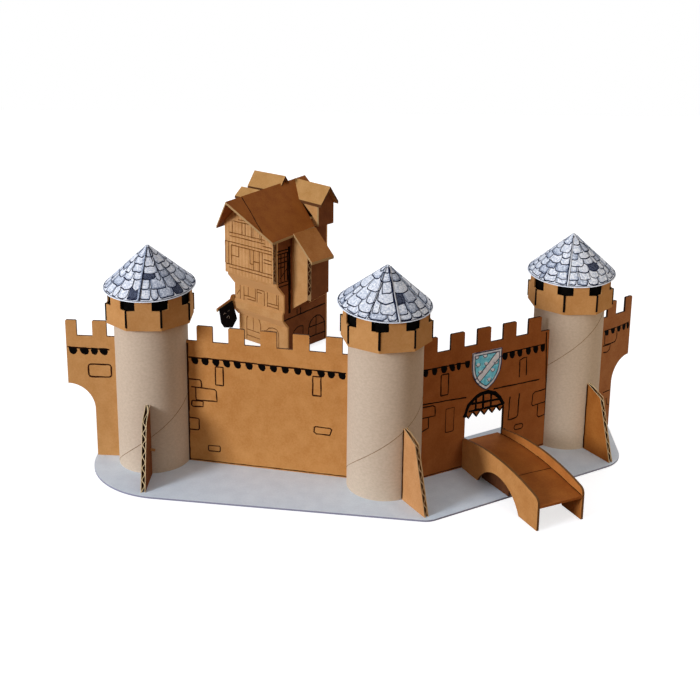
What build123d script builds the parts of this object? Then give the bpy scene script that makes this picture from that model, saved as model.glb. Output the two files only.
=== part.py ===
from build123d import *
from math import atan, cos, radians, tan
import os

# Cardboard castle: three roll-core towers joined by cut card walls, a bridge and a timber house.
# Millimetres, +Z up. The origin is on the middle tower's axis, on the underside of the base plate.

# Sheet stock
card = 1.5
thin_card = 0.8
paper = 0.5
plate_card = 1.0
seat = 0.05

# Corrugated board: two liners with a zigzag medium between them
board = 2.8
thick_board = 4.0
liner = 0.4
medium = 0.3
flute_pitch = 6.4

# Towers: the long wall runs from the left tower to the middle one, the gate wall on to the right
tube_radius = 22.0
tube_wall = 1.1
tube_height = 108.0
long_span = 144.6
long_angle = -12.2
gate_span = 137.6
gate_angle = 29.7
slit_clearance = 0.1

# Base plate, each corner measured from the nearest tower
left_margin = 37.0
front_margin = 44.5
back_margin = 43.5
middle_front = (24.4, -43.0)
middle_back = (5.2, 32.3)
right_front = (30.9, -37.2)
right_back = (36.9, 56.0)
left_round = 52.0
middle_round = 12.0
right_round = 25.0

# Walls
wall_top = 89.5
crenel_depth = 9.9
merlon_width = 10.0
merlon_round = 0.8
wall_tuck = 14.0
long_set_back = 1.5
long_merlon_shift = 1.4
long_pitch = 20.0
gate_set_out = 5.8
gate_merlon_shift = -3.0
gate_pitch = 19.5
merlon_count = 5

# Wings: the short sheets outside the end towers
wing_reach = 53.0
wing_foot = 36.5
wing_arch_centre = 32.0
wing_merlon_start = 27.6
wing_merlon = 8.8
wing_end_merlon = 6.8
left_wing_angle = 176.2
right_wing_angle = 39.1
right_wing_set_out = 9.2

# Gate: the portcullis is cut out of the gate wall's own card
gate_shift = -0.6
tooth_count = 5
tooth_pitch = 6.0
tooth_tip = 32.4
tooth_root = 36.0
gate_clearance = 0.3

# Shield on the gate wall
shield_width = 22.0
shield_top = 74.6
shield_shoulder = 66.0
shield_tip = 49.4

# Bridge
deck_width = 28.4
bridge_length = 80.0
bridge_middle = 40.0
bridge_skew = 4.4
deck_tuck = 3.0
rail_rear = 20.0
rail_middle = 24.5
rail_front = 18.6
rail_round = 4.0
deck_rear = 15.3
deck_middle = 18.7
deck_bend = 51.0
deck_bend_height = 18.0
deck_front = 14.5
rear_foot = 19.0
front_foot = 17.5
arch_height = 14.0

# Buttresses
buttress_reach = 45.5
buttress_top = 45.5
buttress_shoulder = 34.0
buttress_drop = 5.5
left_buttress_angle = -89.3
buttress_angle = -60.0

# Battlement rings: eight-sided, folded at the slits, on a collar that closes them round the tube
ring_lap = 16.4
ring_radius = 26.7
ring_crenel_width = 9.8
ring_crenel_drop = 4.3
ring_slit = 1.0
left_turn = -111.0
middle_turn = -100.0
right_turn = -109.0

# Cone roofs: all tip a little to the front, and each leans its own way across
cone_radius = 27.6
cone_lift = 4.7
cone_rise = 25.4
cone_sides = 48
cone_tip = 5.9
left_lean = -0.2
middle_lean = 2.8
middle_cone_shift = -1.0
middle_cone_rise = 23.5
right_lean = -0.9

# House: its own frame has u along the front, v into the depth and z up
house_corner = (-112.1, 247.6)
house_angle = -40.0
house_width = 55.0
house_depth = 47.0

# House front sheet, which steps out twice on its way up
ground_top = 21.0
beam_out = 6.0
beam_foot = 28.0
beam_top = 34.0
floor_out = 4.5
floor_foot = 35.5
floor_top = 48.5
loft_out = 12.0
loft_foot = 57.5
panel_foot = 61.0
panel_inset = 1.5

# Main roof, whose ridge climbs to the back
ridge_height = 129.5
ridge_climb = 5.0
roof_slope = 41.5
roof_overhang = 6.8
prow = 38.9
left_eave_front = -17.5
right_eave_front = -23.4
right_eave_back = 24.0
roof_back = 50.0

# Cross wing on the right, over the back half of the house
cross_ridge = 38.0
cross_ridge_rise = 3.7
cross_fall = 2.5
cross_slope = 52.0
cross_half = 10.4
cross_front = 29.0
cross_out = 5.0
cross_roof_out = 11.0
cross_wall_in = 11.0
cross_wall_drop = 33.6
valley_reach = 13.5
valley_lap = 1.5

# Bay on the right side under a lean-to roof
bay_front = 5.5
bay_back = 26.0
bay_out = 16.0
bay_foot_in = 36.0
bay_foot_out = 46.5
bay_outer_foot_back = 49.5
lean_slope = 45.7
lean_step = 0.9
lean_reach = 19.2
lean_front = -0.4
lean_back = 25.3

# Dormers on the left slope, the rear one taller and past the main ridge
dormer_overhang = 5.7
cheek_inset = 1.8
front_dormer_along = 10.0
front_dormer_rise = -3.7
front_dormer_slope = 40.0
front_dormer_half = 7.8
rear_dormer_along = 25.0
rear_dormer_rise = 7.5
rear_dormer_slope = 55.0
rear_dormer_half = 8.2
rear_dormer_past = 1.9

# Hanging sign at the front's left corner
sign_arm_out = 24.0
sign_arm_rise = 35.3
sign_arm_end = 30.6
sign_arm_depth = 2.3
sign_post_top = 38.5
sign_board_card = 1.0
sign_corners = [(-2.3, -1.2), (-16.6, -5.3), (-14.7, -17.1), (-11.4, -21.9), (-2.7, -24.2), (2.6, -17.9)]


def upright(foot, angle, set_out=0.0):
    """Vertical plane over a floor point: x runs along the angle, y is up, z faces out at the front."""
    along = Vector(1, 0, 0).rotate(Axis.Z, angle)
    front = along.rotate(Axis.Z, -90)
    return Plane(origin=foot + front * set_out, x_dir=along, z_dir=front)


# Feet of the towers and the planes in which the walls stand
middle = Vector(0, 0, 0)
left = middle - Vector(long_span, 0, 0).rotate(Axis.Z, long_angle)
right = middle + Vector(gate_span, 0, 0).rotate(Axis.Z, gate_angle)
long_plane = upright(left, long_angle, -long_set_back)
gate_plane = upright(middle, gate_angle, gate_set_out)
left_wing_plane = upright(left, left_wing_angle)
right_wing_plane = upright(right, right_wing_angle, right_wing_set_out)
crenel_floor = wall_top - crenel_depth
tube_top = plate_card + tube_height
ring_foot = tube_top - ring_lap
cone_foot = tube_top + cone_lift

# Base plate
with BuildPart() as base_plate:
    with BuildSketch() as plate_outline:
        with BuildLine():
            Polyline(
                (left.X - left_margin, left.Y + back_margin),
                (left.X - left_margin, left.Y - front_margin),
                middle_front,
                (right.X + right_front[0], right.Y + right_front[1]),
                (right.X + right_back[0], right.Y + right_back[1]),
                middle_back,
                close=True,
            )
        make_face()
        for corner, radius in (
            ((left.X, left.Y - 2 * front_margin), left_round),
            (middle_front, middle_round),
            ((right.X + right_front[0], 0), right_round),
        ):
            fillet(plate_outline.vertices().sort_by_distance(corner)[0], radius=radius)
    extrude(amount=plate_card)


def tower_tube(foot, entries):
    """Roll core standing on the plate, slit from its foot for each sheet that enters it."""
    slit_top = crenel_floor + slit_clearance
    with BuildPart() as tube:
        with BuildSketch(Plane(foot).offset(plate_card)):
            Circle(tube_radius)
            Circle(tube_radius - tube_wall, mode=Mode.SUBTRACT)
        extrude(amount=tube_height)
        for sheet_plane, from_side in entries:
            with BuildSketch(sheet_plane):
                with Locations((from_side * tube_radius, slit_top / 2)):
                    Rectangle(2 * tube_radius, slit_top)
            extrude(amount=card / 2 + slit_clearance, both=True, mode=Mode.SUBTRACT)
    return tube


long_end = Plane(long_plane.from_local_coords((long_span, 0, 0)), long_plane.x_dir, long_plane.z_dir)
gate_end = Plane(gate_plane.from_local_coords((gate_span, 0, 0)), gate_plane.x_dir, gate_plane.z_dir)
tower_tube_left = tower_tube(left, [(long_plane, 1), (left_wing_plane, 1)])
tower_tube_middle = tower_tube(middle, [(long_end, -1), (gate_plane, 1)])
tower_tube_right = tower_tube(right, [(gate_end, -1), (right_wing_plane, 1)])


def tower_wall(plane, span, merlon_shift, pitch):
    """Sheet from tower to tower, with merlons along its top."""
    first_merlon = span / 2 + merlon_shift - (merlon_count - 1) / 2 * pitch
    with BuildPart() as sheet:
        with BuildSketch(plane.offset(-card / 2)) as outline:
            with Locations((span / 2, (plate_card + crenel_floor) / 2)):
                Rectangle(span - 2 * wall_tuck, crenel_floor - plate_card)
            for merlon in range(merlon_count):
                with Locations((first_merlon + merlon * pitch, wall_top - crenel_depth / 2)):
                    Rectangle(merlon_width, crenel_depth)
            fillet(outline.vertices().group_by(Axis.Y)[-1], radius=merlon_round)
        extrude(amount=card)
    return sheet


wall_long = tower_wall(long_plane, long_span, long_merlon_shift, long_pitch)

# Gate wall, open below the portcullis
gate_centre = gate_span / 2 + gate_shift
gate_width = deck_width / cos(radians(bridge_skew)) + card * tan(radians(bridge_skew)) + 2 * gate_clearance
with BuildPart() as wall_gate:
    add(tower_wall(gate_plane, gate_span, gate_merlon_shift, gate_pitch).part)
    with BuildSketch(gate_plane.offset(-card)):
        with Locations((gate_centre, tooth_root / 2)):
            Rectangle(gate_width, tooth_root)
        for tooth in range(tooth_count):
            tip = gate_centre + (tooth - (tooth_count - 1) / 2) * tooth_pitch
            Polygon(
                (tip - tooth_pitch / 2, tooth_root),
                (tip, tooth_tip),
                (tip + tooth_pitch / 2, tooth_root),
                align=None,
                mode=Mode.SUBTRACT,
            )
    extrude(amount=2 * card, mode=Mode.SUBTRACT)


def wing(plane):
    """Short sheet that ends a row of walls and stands on a narrow foot under a quarter arch."""
    arch_radius = wing_reach - wing_foot
    with BuildPart() as sheet:
        with BuildSketch(plane.offset(-card / 2)) as outline:
            with Locations(((wall_tuck + wing_reach) / 2, (plate_card + crenel_floor) / 2)):
                Rectangle(wing_reach - wall_tuck, crenel_floor - plate_card)
            with Locations((wing_merlon_start + wing_merlon / 2, wall_top - crenel_depth / 2)):
                Rectangle(wing_merlon, crenel_depth)
            with Locations((wing_reach - wing_end_merlon / 2, wall_top - crenel_depth / 2)):
                Rectangle(wing_end_merlon, crenel_depth)
            fillet(outline.vertices().group_by(Axis.Y)[-1], radius=merlon_round)
            with Locations((wing_reach, wing_arch_centre)):
                Circle(arch_radius, mode=Mode.SUBTRACT)
            with Locations((wing_reach, wing_arch_centre / 2)):
                Rectangle(2 * arch_radius, wing_arch_centre, mode=Mode.SUBTRACT)
        extrude(amount=card)
    return sheet


wing_left = wing(left_wing_plane)
wing_right = wing(right_wing_plane)

# Shield glued to the gate wall's face
gate_face = gate_plane.offset(card / 2)
with BuildPart() as shield:
    with BuildSketch(gate_face):
        with BuildLine():
            half = shield_width / 2
            left_side = Line((gate_centre - half, shield_top), (gate_centre - half, shield_shoulder))
            right_side = Line((gate_centre + half, shield_shoulder), (gate_centre + half, shield_top))
            Line(right_side @ 1, left_side @ 0)
            TangentArc(left_side @ 1, (gate_centre, shield_tip), tangent=(0, -1))
            TangentArc(right_side @ 0, (gate_centre, shield_tip), tangent=(0, -1))
        make_face()
    extrude(amount=paper)


def flutes(plane, thickness, low, high, length):
    """Cut a row of flute channels along the plane's z; x is across the board and y along the row."""
    depth = thickness / 2 - liner
    half_base = flute_pitch / 2 - medium
    count = int((high - low) / flute_pitch * 2) - 1
    for channel in range(count):
        side = 1 if channel % 2 else -1
        with BuildSketch(plane) as section:
            middle_of_channel = low + (channel + 1) * flute_pitch / 2
            Polygon(
                (-side * depth, middle_of_channel - half_base),
                (-side * depth, middle_of_channel + half_base),
                (side * (depth - medium), middle_of_channel),
                align=None,
            )
        extrude(section.sketch, amount=length, mode=Mode.SUBTRACT)


def buttress(foot, angle):
    """Corrugated fin against a tower, its flutes running level out to the sloping edge."""
    plane = upright(foot, angle)
    inner = tube_radius + seat
    across = Plane(foot, x_dir=plane.z_dir, z_dir=plane.x_dir)
    with BuildPart() as fin:
        with BuildSketch(plane.offset(-board / 2)):
            Polygon(
                (inner, plate_card),
                (inner, buttress_top),
                (buttress_shoulder, buttress_top - buttress_drop),
                (buttress_reach, plate_card),
                align=None,
            )
        extrude(amount=board)
        flutes(across, board, plate_card, buttress_top, buttress_reach)
    return fin


buttress_left = buttress(left, left_buttress_angle)
buttress_middle = buttress(middle, buttress_angle)
buttress_right = buttress(right, buttress_angle)


# Bridge: a creased deck between two arched rails that butt against the gate wall
bridge_start = gate_face.from_local_coords((gate_centre, 0, 0))
bridge_plane = upright(bridge_start, gate_angle - 90 - bridge_skew)


def bridge_rail(plane):
    """Arched side of the bridge: its rear foot stands on the plate, its front foot on the table."""
    with BuildPart() as rail:
        with BuildSketch(plane) as outline:
            with BuildLine():
                front_corner = (bridge_length, rail_front)
                top = ThreePointArc((0, rail_rear), (bridge_middle, rail_middle), front_corner)
                arch_front = (bridge_length - front_foot, 0)
                arch_crown = ((rear_foot + bridge_length - front_foot) / 2, arch_height)
                arch = ThreePointArc(arch_front, arch_crown, (rear_foot, plate_card))
                Polyline(top @ 1, (bridge_length, 0), arch @ 0)
                Polyline(arch @ 1, (-deck_tuck, plate_card), (-deck_tuck, rail_rear), top @ 0)
            make_face()
            fillet(outline.vertices().sort_by_distance(front_corner)[0], radius=rail_round)
        extrude(amount=card)
        split(bisect_by=gate_face, keep=Keep.TOP)
    return rail


bridge_side_left = bridge_rail(bridge_plane.offset(deck_width / 2))
bridge_side_right = bridge_rail(bridge_plane.offset(-deck_width / 2 - card))

with BuildPart() as bridge_deck:
    with BuildSketch(bridge_plane.offset(-deck_width / 2)):
        with BuildLine():
            bend = (deck_bend, deck_bend_height)
            ThreePointArc((-3 * deck_tuck, deck_rear), (deck_bend / 2, deck_middle), bend)
            Line(bend, (bridge_length, deck_front))
            offset(amount=card, side=Side.RIGHT, kind=Kind.INTERSECTION)
        make_face()
    extrude(amount=deck_width)
    split(bisect_by=gate_plane.offset(-card / 2 - deck_tuck), keep=Keep.TOP)


def cone_block(plane, rise, scale, mode):
    """Solid cone, drawn with many flat sides, whose point stays put as its scale grows."""
    with BuildSketch(plane.offset(-(scale - 1) * rise)) as rim:
        RegularPolygon(scale * cone_radius, cone_sides)
    point = Vertex(plane.from_local_coords((0, 0, rise)))
    loft([rim.sketch, point], ruled=True, mode=mode)


def cone_drop(rise):
    """Depth of the paper, measured down a cone's axis."""
    return paper / cos(atan(rise / cone_radius))


def cone_roof(plane, rise):
    """Paper cone, open below, with its rim on the plane."""
    with BuildPart() as cone:
        cone_block(plane, rise, 1, Mode.ADD)
        cone_block(plane.offset(-cone_drop(rise)), rise, 1, Mode.SUBTRACT)
    return cone


def battlement(foot, turn, cone_plane, rise):
    """Card ring round a tube's top, slit down from each crenel and cut to the slope of the cone."""
    base = Plane(foot).offset(ring_foot).rotated((0, 0, turn))
    collar_top = base.offset(card)
    crenel_base = base.offset(ring_lap - ring_crenel_drop)
    reach = 2 * (ring_radius - tube_radius)
    with BuildPart() as ring:
        with BuildSketch(base):
            RegularPolygon(ring_radius, 8)
            Circle(tube_radius + seat, mode=Mode.SUBTRACT)
        extrude(amount=ring_foot)
        with BuildSketch(collar_top):
            RegularPolygon(ring_radius - thin_card / cos(radians(22.5)), 8)
        extrude(amount=ring_foot, mode=Mode.SUBTRACT)
        for floor, width in ((crenel_base, ring_crenel_width), (collar_top, ring_slit)):
            with BuildSketch(floor):
                with PolarLocations(ring_radius, 8):
                    Rectangle(reach, width)
            extrude(amount=ring_foot, mode=Mode.SUBTRACT)
        cone_block(cone_plane.offset(-cone_drop(rise) - seat), rise, 3, Mode.INTERSECT)
    return ring


middle_cone_foot = middle + Vector(middle_cone_shift, 0, 0)
left_cone_plane = Plane(left).offset(cone_foot).rotated((cone_tip, left_lean, 0))
middle_cone_plane = Plane(middle_cone_foot).offset(cone_foot).rotated((cone_tip, middle_lean, 0))
right_cone_plane = Plane(right).offset(cone_foot).rotated((cone_tip, right_lean, 0))
cone_roof_left = cone_roof(left_cone_plane, cone_rise)
cone_roof_middle = cone_roof(middle_cone_plane, middle_cone_rise)
cone_roof_right = cone_roof(right_cone_plane, cone_rise)
battlement_left = battlement(left, left_turn, left_cone_plane, cone_rise)
battlement_middle = battlement(middle, middle_turn, middle_cone_plane, middle_cone_rise)
battlement_right = battlement(right, right_turn, right_cone_plane, cone_rise)

# House planes: the front at depth v, the side at width u, and the ridges of the roofs
house = Plane((*house_corner, 0), x_dir=Vector(1, 0, 0).rotate(Axis.Z, house_angle), z_dir=(0, 0, 1))
house_middle = house_width / 2
up = Vector(0, 0, 1)


def front_at(v):
    """Upright plane across the house: x runs along the front, z faces out of the front."""
    return Plane(house.from_local_coords((0, v, 0)), x_dir=house.x_dir, z_dir=-house.y_dir)


def side_at(u, v=0, height=0):
    """Upright plane along the house: x runs into the depth, z faces out of the right side."""
    corner = house.from_local_coords((u, v, height))
    return Plane(corner, x_dir=house.y_dir, z_dir=house.x_dir)


climb = house.y_dir * cos(radians(ridge_climb)) + up * cos(radians(90 - ridge_climb))
ridge_start = house.from_local_coords((house_middle, 0, ridge_height))
ridge_plane = Plane(ridge_start, x_dir=house.x_dir, z_dir=-climb)
fall = house.x_dir * cos(radians(cross_fall)) - up * cos(radians(90 - cross_fall))
cross_ridge_height = ridge_height + cross_ridge_rise
cross_start = house.from_local_coords((house_middle, cross_ridge, cross_ridge_height))
cross_plane = Plane(cross_start, x_dir=house.y_dir, z_dir=fall)


def folded_roof(plane, slope, half, length):
    """Sheet folded along the plane's z, which is its ridge."""
    drop = card / cos(radians(slope))
    eave = half * tan(radians(slope))
    with BuildPart() as sheet:
        with BuildSketch(plane):
            with BuildLine():
                outside = Polyline((half, -eave), (0, 0), (-half, -eave))
                inside = Polyline((-half, -eave - drop), (0, -drop), (half, -eave - drop))
                Line(outside @ 1, inside @ 0)
                Line(inside @ 1, outside @ 0)
            make_face()
        extrude(amount=length)
    return sheet.part


def roof_space(plane, slope, drop, upward):
    """Block that holds all the space above, or below, a folded surface, to cut with."""
    reach = 3 * house_width
    side = -drop - reach * tan(radians(slope))
    limit = reach if upward else 2 * side
    with BuildPart() as space:
        with BuildSketch(plane.offset(-reach)):
            far = [(reach, side), (reach, limit), (-reach, limit), (-reach, side)]
            Polygon((0, -drop), *far, align=None)
        extrude(amount=2 * reach)
    return space.part


above_main_roof = roof_space(ridge_plane, roof_slope, card / cos(radians(roof_slope)), True)
below_main_roof = roof_space(ridge_plane, roof_slope, 0, False)
above_cross_roof = roof_space(cross_plane, cross_slope, card / cos(radians(cross_slope)), True)
sheet_top = ridge_height + house_width / 2

# House walls: one front sheet that steps out, and side sheets cut to fit behind it
facade = [
    (0, 0),
    (0, ground_top),
    (-beam_out, beam_foot),
    (-beam_out, beam_top),
    (-floor_out, floor_foot),
    (-floor_out, floor_top),
    (-loft_out, loft_foot),
    (-loft_out, sheet_top),
]

with BuildPart() as house_front:
    with BuildSketch(side_at(0)):
        with BuildLine():
            Polyline(*facade)
            offset(amount=card, side=Side.RIGHT, kind=Kind.INTERSECTION)
        make_face()
    extrude(amount=house_width)
    add(above_main_roof, mode=Mode.SUBTRACT)

with BuildPart() as house_back:
    with BuildSketch(front_at(house_depth)):
        with Locations((house_middle, sheet_top / 2)):
            Rectangle(house_width, sheet_top)
    extrude(amount=card)
    add(above_main_roof, mode=Mode.SUBTRACT)


def house_side(u):
    """Side sheet behind the front sheet, with the same steps in its front edge."""
    with BuildPart() as sheet:
        with BuildSketch(side_at(u)):
            Polygon(*facade, (house_depth, sheet_top), (house_depth, 0), align=None)
        extrude(amount=card)
        add(house_front.part, mode=Mode.SUBTRACT)
        add(house_back.part, mode=Mode.SUBTRACT)
        add(above_main_roof, mode=Mode.SUBTRACT)
    return sheet


house_side_left = house_side(0)
house_side_right = house_side(house_width - card)

# Corrugated board glued on the front of the loft
with BuildPart() as house_front_panel:
    with BuildSketch(front_at(-loft_out)):
        with Locations(((panel_inset + house_width) / 2, (panel_foot + sheet_top) / 2)):
            Rectangle(house_width - panel_inset, sheet_top - panel_foot)
    extrude(amount=thick_board)
    panel_end = side_at(0, -loft_out - thick_board / 2)
    flutes(panel_end, thick_board, panel_foot, ridge_height, house_width)
    add(above_main_roof, mode=Mode.SUBTRACT)

# Main roof, with a pointed prow and a notch for the cross wing
roof_half = house_middle + roof_overhang
right_eave = house_middle + roof_half
valley_foot = house_middle + valley_reach
with BuildPart() as house_roof:
    add(folded_roof(ridge_plane.offset(-2 * roof_back), roof_slope, roof_half, 4 * roof_back))
    with BuildSketch(house):
        Polygon(
            (house_middle - roof_half, left_eave_front),
            (house_middle, -prow),
            (right_eave, right_eave_front),
            (right_eave, right_eave_back),
            (valley_foot, cross_ridge - cross_half + valley_lap),
            (house_middle + valley_lap, cross_ridge),
            (valley_foot, cross_ridge + cross_half - valley_lap),
            (valley_foot, roof_back),
            (house_middle - roof_half, roof_back),
            align=None,
        )
    extrude(amount=2 * ridge_height, mode=Mode.INTERSECT)

with BuildPart() as house_cross_roof:
    add(folded_roof(cross_plane, cross_slope, cross_half, house_middle + cross_roof_out))
    add(below_main_roof, mode=Mode.SUBTRACT)


cross_foot = cross_ridge_height - cross_wall_drop
cross_gable = house_width + cross_out


def cross_wall(v):
    """Wall of the cross wing: it rests on the main roof's slope and hangs past the house's side."""
    height = sheet_top - cross_foot
    with BuildPart() as sheet:
        with BuildSketch(front_at(v)):
            with Locations((house_width - cross_wall_in / 2, cross_foot + height / 2)):
                Rectangle(cross_wall_in, height)
        extrude(amount=card)
        add(below_main_roof, mode=Mode.SUBTRACT)
        with BuildSketch(front_at(v)):
            with Locations((house_width + cross_out / 2, cross_foot + height / 2)):
                Rectangle(cross_out, height)
        extrude(amount=card)
        add(above_cross_roof, mode=Mode.SUBTRACT)
    return sheet


house_cross_front = cross_wall(cross_front + card)
house_cross_back = cross_wall(house_depth)
with BuildPart() as house_cross_gable:
    with BuildSketch(side_at(cross_gable)):
        with Locations(((cross_front + house_depth) / 2, (cross_foot + sheet_top) / 2)):
            Rectangle(house_depth - cross_front, sheet_top - cross_foot)
    extrude(amount=card)
    add(above_cross_roof, mode=Mode.SUBTRACT)

# Bay on the right side, under a lean-to roof that starts at the main roof's eave
lean_fall = tan(radians(lean_slope))
lean_drop = card / cos(radians(lean_slope))
lean_top = ridge_height - roof_half * tan(radians(roof_slope)) + lean_step
lean_out = right_eave + lean_reach
lean_foot = lean_top - lean_reach * lean_fall
with BuildPart() as house_lean_to:
    with BuildSketch(front_at(lean_back)):
        Polygon(
            (right_eave, lean_top),
            (lean_out, lean_foot),
            (lean_out, lean_foot - lean_drop),
            (right_eave, lean_top - lean_drop),
            align=None,
        )
    extrude(amount=lean_back - lean_front)

with BuildPart() as above_lean_to:
    with BuildSketch(front_at(house_depth)):
        reach = right_eave
        Polygon(
            (right_eave - reach, lean_top - lean_drop + reach * lean_fall),
            (right_eave + reach, lean_top - lean_drop - reach * lean_fall),
            (right_eave + reach, lean_top + reach * lean_fall),
            align=None,
        )
    extrude(amount=2 * house_depth)

bay_outer = house_width + bay_out


def bay_wall(v):
    """End wall of the bay, from the house's side to the outer board."""
    with BuildPart() as sheet:
        with BuildSketch(front_at(v)):
            Polygon(
                (house_width, bay_foot_in),
                (bay_outer, bay_foot_out),
                (bay_outer, sheet_top),
                (house_width, sheet_top),
                align=None,
            )
        extrude(amount=card)
        add(above_lean_to.part, mode=Mode.SUBTRACT)
        add(above_main_roof, mode=Mode.SUBTRACT)
    return sheet


house_bay_front = bay_wall(bay_front + card)
house_bay_back = bay_wall(bay_back)
with BuildPart() as house_bay_outer:
    with BuildSketch(side_at(bay_outer)):
        Polygon(
            (bay_front, bay_foot_out),
            (bay_back, bay_outer_foot_back),
            (bay_back, sheet_top),
            (bay_front, sheet_top),
            align=None,
        )
    extrude(amount=thick_board)
    bay_corner = house.from_local_coords((bay_outer + thick_board / 2, bay_front, 0))
    bay_end = Plane(bay_corner, x_dir=-house.x_dir, z_dir=house.y_dir)
    flutes(bay_end, thick_board, bay_outer_foot_back, lean_top, bay_back - bay_front)
    add(above_lean_to.part, mode=Mode.SUBTRACT)


def dormer(along, rise, slope, half, past):
    """Folded roof and U-shaped walls that sit on the main roof's left slope."""
    height = ridge_height + rise
    plane = side_at(0, along, height)
    outer_half = half - cheek_inset
    length = dormer_overhang + house_middle + past
    with BuildPart() as roof:
        add(folded_roof(plane.offset(-dormer_overhang), slope, half, length))
        add(below_main_roof, mode=Mode.SUBTRACT)
    with BuildPart() as walls:
        with BuildSketch(house.offset(height)):
            with Locations((house_middle / 2, along)):
                Rectangle(house_middle, 2 * outer_half)
            with Locations((house_middle / 2 + card, along)):
                Rectangle(house_middle, 2 * (outer_half - card), mode=Mode.SUBTRACT)
        extrude(amount=house_width, both=True)
        add(below_main_roof, mode=Mode.SUBTRACT)
        add(roof_space(plane, slope, card / cos(radians(slope)), True), mode=Mode.SUBTRACT)
    return roof, walls


dormer_roof_front, dormer_walls_front = dormer(
    front_dormer_along, front_dormer_rise, front_dormer_slope, front_dormer_half, 0
)
dormer_roof_rear, dormer_walls_rear = dormer(
    rear_dormer_along, rear_dormer_rise, rear_dormer_slope, rear_dormer_half, rear_dormer_past
)

# Hanging sign: an arm against the house's left side, and a board on the arm
with BuildPart() as sign_arm:
    with BuildSketch(side_at(-card)) as arm_outline:
        Polygon(
            (-floor_out, sign_post_top),
            (-beam_out - card, sign_post_top),
            (-beam_out - 2 * card, sign_arm_rise),
            (-sign_arm_out, sign_arm_end),
            (-sign_arm_out, sign_arm_end - sign_arm_depth),
            (-beam_out - 2 * card, sign_arm_rise - sign_arm_depth),
            (-beam_out, beam_foot),
            (0, ground_top),
            (0, ground_top + 2 * card),
            (-floor_out, beam_foot),
            align=None,
        )
    extrude(amount=card)

with BuildPart() as sign_board:
    with BuildSketch(side_at(0)):
        board_outline = [(along - beam_out, sign_arm_rise + rise) for along, rise in sign_corners]
        Polygon(*board_outline, align=None)
    extrude(amount=sign_board_card)

pieces = {
    "base_plate": base_plate,
    "tower_tube_left": tower_tube_left,
    "tower_tube_middle": tower_tube_middle,
    "tower_tube_right": tower_tube_right,
    "wall_long": wall_long,
    "wall_gate": wall_gate,
    "wing_left": wing_left,
    "wing_right": wing_right,
    "shield": shield,
    "bridge_side_left": bridge_side_left,
    "bridge_side_right": bridge_side_right,
    "bridge_deck": bridge_deck,
    "buttress_left": buttress_left,
    "buttress_middle": buttress_middle,
    "buttress_right": buttress_right,
    "battlement_left": battlement_left,
    "battlement_middle": battlement_middle,
    "battlement_right": battlement_right,
    "cone_roof_left": cone_roof_left,
    "cone_roof_middle": cone_roof_middle,
    "cone_roof_right": cone_roof_right,
    "house_front": house_front,
    "house_back": house_back,
    "house_side_left": house_side_left,
    "house_side_right": house_side_right,
    "house_front_panel": house_front_panel,
    "house_roof": house_roof,
    "house_cross_roof": house_cross_roof,
    "house_cross_front": house_cross_front,
    "house_cross_back": house_cross_back,
    "house_cross_gable": house_cross_gable,
    "house_lean_to": house_lean_to,
    "house_bay_front": house_bay_front,
    "house_bay_back": house_bay_back,
    "house_bay_outer": house_bay_outer,
    "dormer_roof_front": dormer_roof_front,
    "dormer_roof_rear": dormer_roof_rear,
    "dormer_walls_front": dormer_walls_front,
    "dormer_walls_rear": dormer_walls_rear,
    "sign_arm": sign_arm,
    "sign_board": sign_board,
}

os.makedirs("parts", exist_ok=True)
for name, piece in pieces.items():
    piece.part.label = name
    export_step(piece.part, f"parts/{name}.step")
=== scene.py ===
import math
import random

import bmesh
import bpy
from mathutils import Matrix, Vector


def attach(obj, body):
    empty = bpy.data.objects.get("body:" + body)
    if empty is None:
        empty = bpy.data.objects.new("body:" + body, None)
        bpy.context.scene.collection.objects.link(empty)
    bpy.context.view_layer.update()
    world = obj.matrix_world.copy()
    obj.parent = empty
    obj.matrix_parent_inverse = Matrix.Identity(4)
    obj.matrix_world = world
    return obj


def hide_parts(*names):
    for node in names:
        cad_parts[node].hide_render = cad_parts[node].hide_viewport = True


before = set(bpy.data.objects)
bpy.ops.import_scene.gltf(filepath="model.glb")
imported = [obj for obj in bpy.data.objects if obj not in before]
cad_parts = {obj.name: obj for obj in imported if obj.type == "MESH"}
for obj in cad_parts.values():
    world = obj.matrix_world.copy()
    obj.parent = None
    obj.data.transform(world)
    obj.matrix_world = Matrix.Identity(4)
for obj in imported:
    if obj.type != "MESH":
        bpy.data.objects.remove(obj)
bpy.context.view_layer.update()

# Looks of the cardboard castle: card and paper finishes, marker drawings, slates, shield and sign.
# Drawings are given in mm on their own sheet, and are turned into metres where they are placed.

mm = 0.001
hand = random.Random(11)

# The pen: how far its ink spreads, a hand's step and shake, and how flat a drawing lies
pen_spread = 1.3
pen_step = 2.5
pen_shake = 0.1
pen_flatness = 0.12


def heading(angle):
    """Level direction at an angle from +X."""
    return Vector((math.cos(math.radians(angle)), math.sin(math.radians(angle)), 0))


# Towers and sheets, as in the CAD
card = 1.5
plate_card = 1.0
long_span = 144.6
long_angle = -12.2
long_set_back = 1.5
gate_span = 137.6
gate_angle = 29.7
gate_set_out = 5.8
gate_centre = 68.2
left_wing_angle = 176.2
right_wing_angle = 39.1
right_wing_set_out = 9.2
bridge_angle = gate_angle - 94.4
deck_width = 28.4
deck_bend = 51
tube_radius = 22.0
ring_foot = 92.6
ring_radius = 26.7
ring_slit_height = 12.4
ring_turns = {"left": -111, "middle": -100, "right": -109}
ring_sides = 8
cone_radius = 27.6
cone_foot = 113.7
cone_tip = 5.9
house_angle = -40.0
house_width = 55.0
panel_out = 16.0
floor_out = 4.5
ridge_height = 129.5
ridge_climb = 5.0
roof_slope = 41.5
middle = Vector((0, 0, 0))
left = -long_span * heading(long_angle)
right = gate_span * heading(gate_angle)
towers = {"left": left, "middle": middle, "right": right}
house_corner = Vector((-112.1, 247.6, 0))
house_across = heading(house_angle)
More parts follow.
